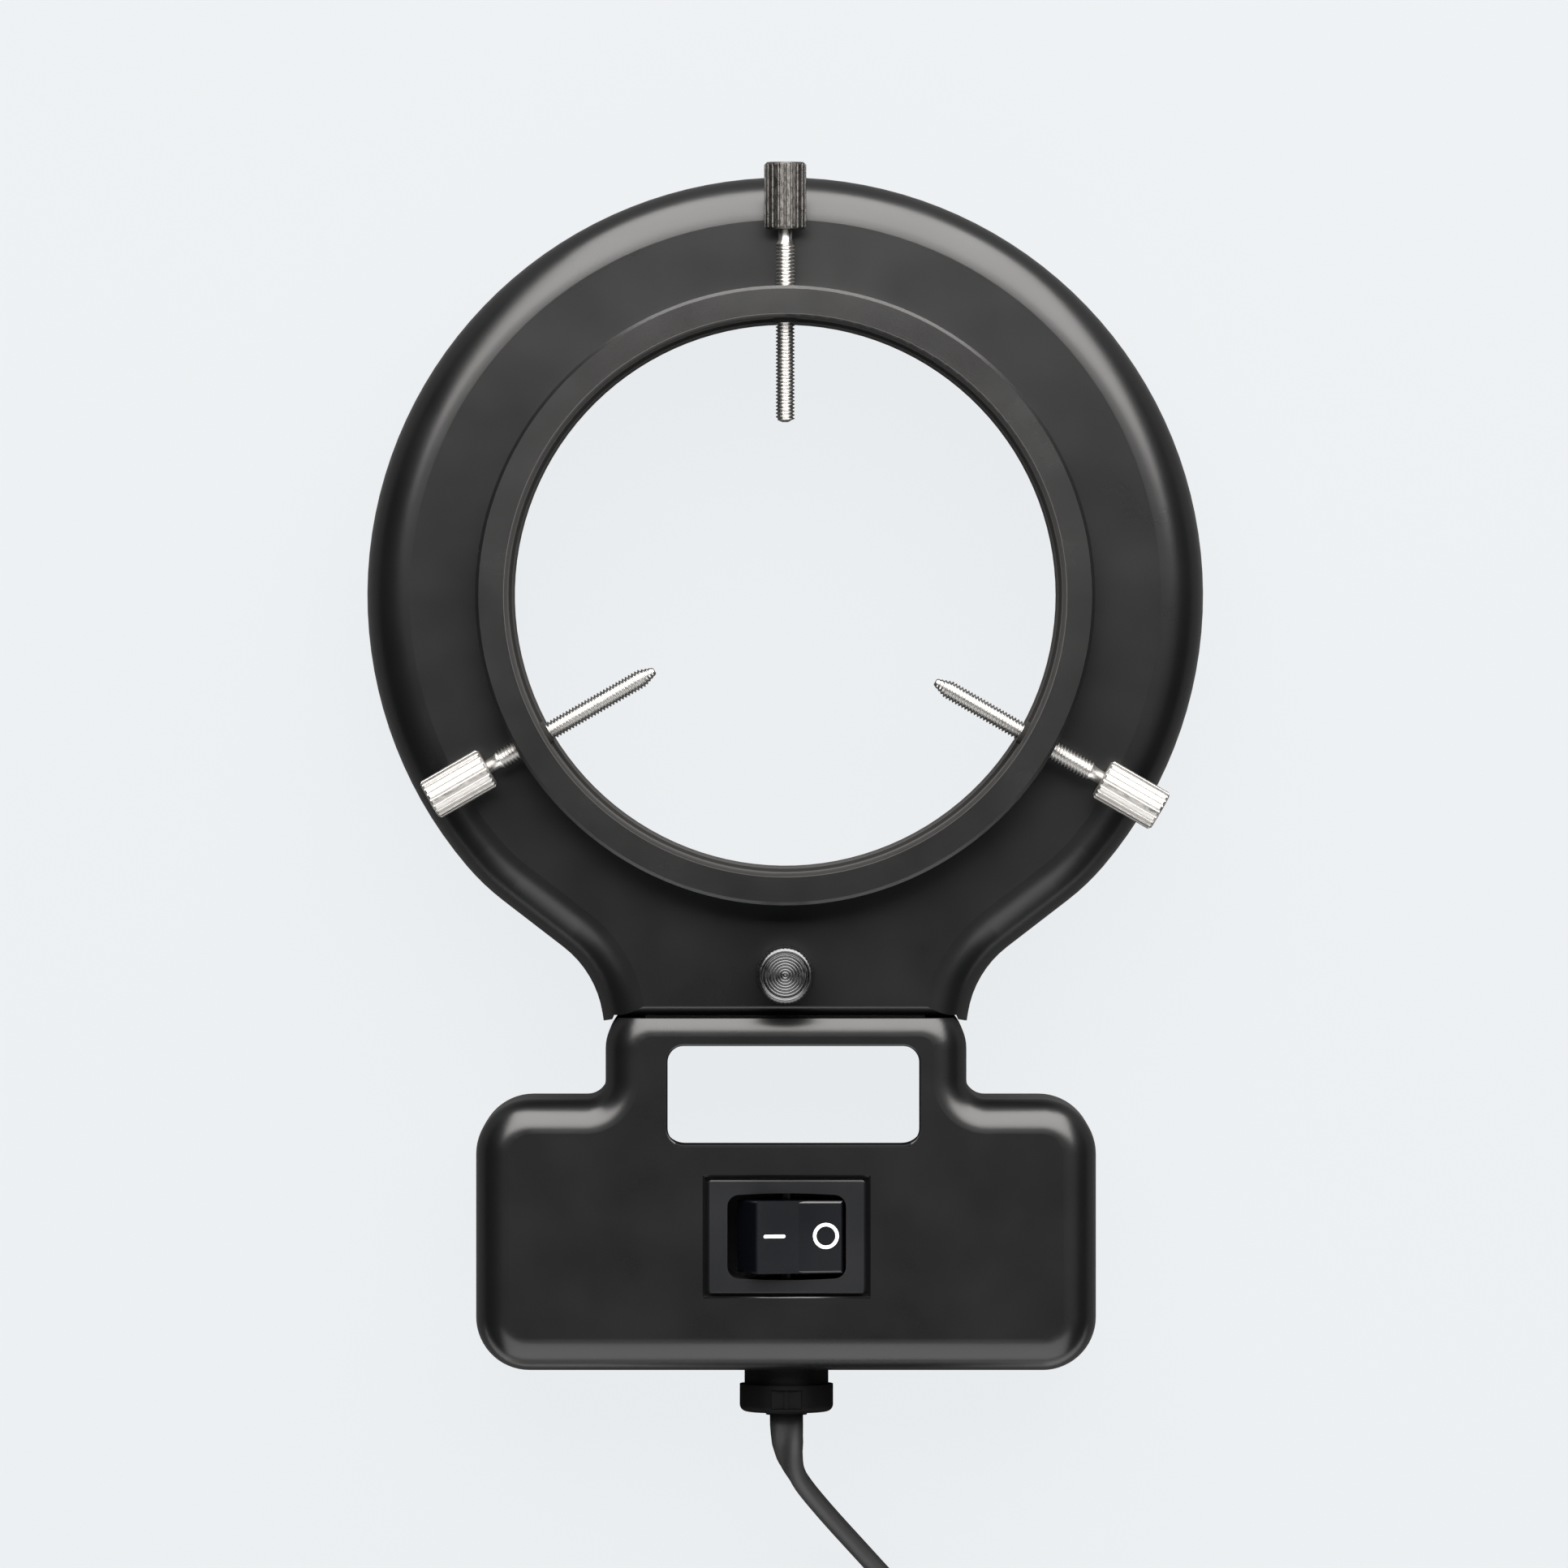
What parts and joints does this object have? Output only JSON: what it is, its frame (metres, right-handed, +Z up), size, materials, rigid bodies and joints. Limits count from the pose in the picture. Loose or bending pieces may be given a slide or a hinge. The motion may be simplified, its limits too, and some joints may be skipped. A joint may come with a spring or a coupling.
{
  "type": "fluorescent ring light",
  "caption": "Fluorescent ring light for a stereo microscope: lamp ring, clamp-screw mounting collar, ballast box with rocker switch and finger window, supply cord with plug.",
  "frame": {"origin": "on the ring's axis, at the level of the underside that the light rests on", "axes": "+Z up along the ring's axis, out of the mounting collar; +Y from the ballast box towards the ring; +X to the right seen from above"},
  "size_m": [0.1105, 0.2454, 0.0276],
  "materials": {
    "shell_plastic": "satin moulded, fine grain",
    "collar_metal": "black anodised, satin",
    "spring_steel": "bright",
    "screw_steel": "bright nickel",
    "dark_knob": "dark nickel, knurled",
    "bright_knob": "bright nickel, knurled",
    "thumb_metal": "turned",
    "lamp_glass": "phosphor coated, milky",
    "cap_metal": "satin",
    "white_plastic": "smooth",
    "brass": "bright",
    "reflector_paint": "white gloss",
    "switch_plastic": "smooth",
    "board_laminate": "paper laminate",
    "core_iron": "varnished laminations",
    "winding": "tape",
    "capacitor_sleeve": "smooth",
    "film_case": "dipped",
    "chip_case": "moulded",
    "gland_nylon": "nylon",
    "cord_jacket": "soft vinyl",
    "lead_jacket": "soft vinyl",
    "plug_plastic": "soft vinyl"
  },
  "bodies": {
    "light": {"ring_housing": "shell_plastic", "mounting_collar": "collar_metal", "collar_clip": "spring_steel", "lamp_tube": "lamp_glass", "lamp_end_caps": "cap_metal", "lamp_base": "white_plastic", "lamp_pins": "brass", "lamp_socket": "white_plastic", "reflector": "reflector_paint", "lamp_clips": "spring_steel", "neck_cover": "shell_plastic", "neck_cover_insert": "brass", "ballast_housing": "shell_plastic", "ballast_cover": "shell_plastic", "case_screws": "screw_steel", "tongue_screws": "screw_steel", "switch_body": "switch_plastic", "switch_terminals": "brass", "circuit_board": "board_laminate", "board_screws": "screw_steel", "choke_core": "core_iron", "choke_winding": "winding", "smoothing_capacitor": "capacitor_sleeve", "film_capacitors": "film_case", "transistors": "chip_case", "diodes": "chip_case", "lamp_plug_block": "white_plastic", "strain_relief": "gland_nylon", "strain_relief_wedge": "gland_nylon", "supply_cord": "cord_jacket", "lamp_lead": "lead_jacket", "mains_leads": "lead_jacket", "cord_coil": "cord_jacket", "plug_body": "plug_plastic", "plug_blades": "brass"},
    "clamp_screw_1": {"clamp_screw_1_shank": "screw_steel"},
    "clamp_knob_1": {"clamp_screw_1_head": "dark_knob"},
    "clamp_screw_2": {"clamp_screw_2_shank": "screw_steel"},
    "clamp_knob_2": {"clamp_screw_2_head": "bright_knob"},
    "clamp_screw_3": {"clamp_screw_3_shank": "screw_steel"},
    "clamp_knob_3": {"clamp_screw_3_head": "bright_knob"},
    "thumb_screw": {"thumb_screw_shank": "screw_steel"},
    "thumb_knob": {"thumb_screw_head": "thumb_metal"},
    "switch_rocker": {"rocker": "switch_plastic"}
  },
  "joints": [
    {"name": "clamp_screw_1_travel", "type": "slide", "parent": "light", "child": "clamp_screw_1", "axis": [0, -1, 0], "range_m": [-0.0126, 0.00675]},
    {"name": "clamp_screw_1_turn", "type": "hinge", "parent": "clamp_screw_1", "child": "clamp_knob_1", "pos_m": [0, 0.05, 0.0238], "axis": [0, -1, 0], "range_deg": [-10090, 5410]},
    {"name": "clamp_screw_2_travel", "type": "slide", "parent": "light", "child": "clamp_screw_2", "axis": [0.866, 0.5, 0], "range_m": [-0.0153, 0.00405]},
    {"name": "clamp_screw_2_turn", "type": "hinge", "parent": "clamp_screw_2", "child": "clamp_knob_2", "pos_m": [-0.0433, -0.025, 0.0238], "axis": [0.866, 0.5, 0], "range_deg": [-12250, 3250]},
    {"name": "clamp_screw_3_travel", "type": "slide", "parent": "light", "child": "clamp_screw_3", "axis": [-0.866, 0.5, 0], "range_m": [-0.0126, 0.00675]},
    {"name": "clamp_screw_3_turn", "type": "hinge", "parent": "clamp_screw_3", "child": "clamp_knob_3", "pos_m": [0.0433, -0.025, 0.0238], "axis": [-0.866, 0.5, 0], "range_deg": [-10090, 5410]},
    {"name": "thumb_screw_travel", "type": "slide", "parent": "light", "child": "thumb_screw", "axis": [0, 0, 1], "range_m": [0, 0.007]},
    {"name": "thumb_screw_turn", "type": "hinge", "parent": "thumb_screw", "child": "thumb_knob", "pos_m": [0, -0.0476, 0.0209], "axis": [0, 0, 1], "range_deg": [0, 5050]},
    {"name": "rocker_tilt", "type": "hinge", "parent": "light", "child": "switch_rocker", "pos_m": [0.00018, -0.0805, 0.0164], "axis": [0, -1, 0], "range_deg": [0, 24]}
  ],
  "couplings": [
    {"joint": "clamp_screw_1_turn", "follows": "clamp_screw_1_travel", "rad_per_m": 13963},
    {"joint": "clamp_screw_2_turn", "follows": "clamp_screw_2_travel", "rad_per_m": 13963},
    {"joint": "clamp_screw_3_turn", "follows": "clamp_screw_3_travel", "rad_per_m": 13963},
    {"joint": "thumb_screw_turn", "follows": "thumb_screw_travel", "rad_per_m": 12566}
  ]
}
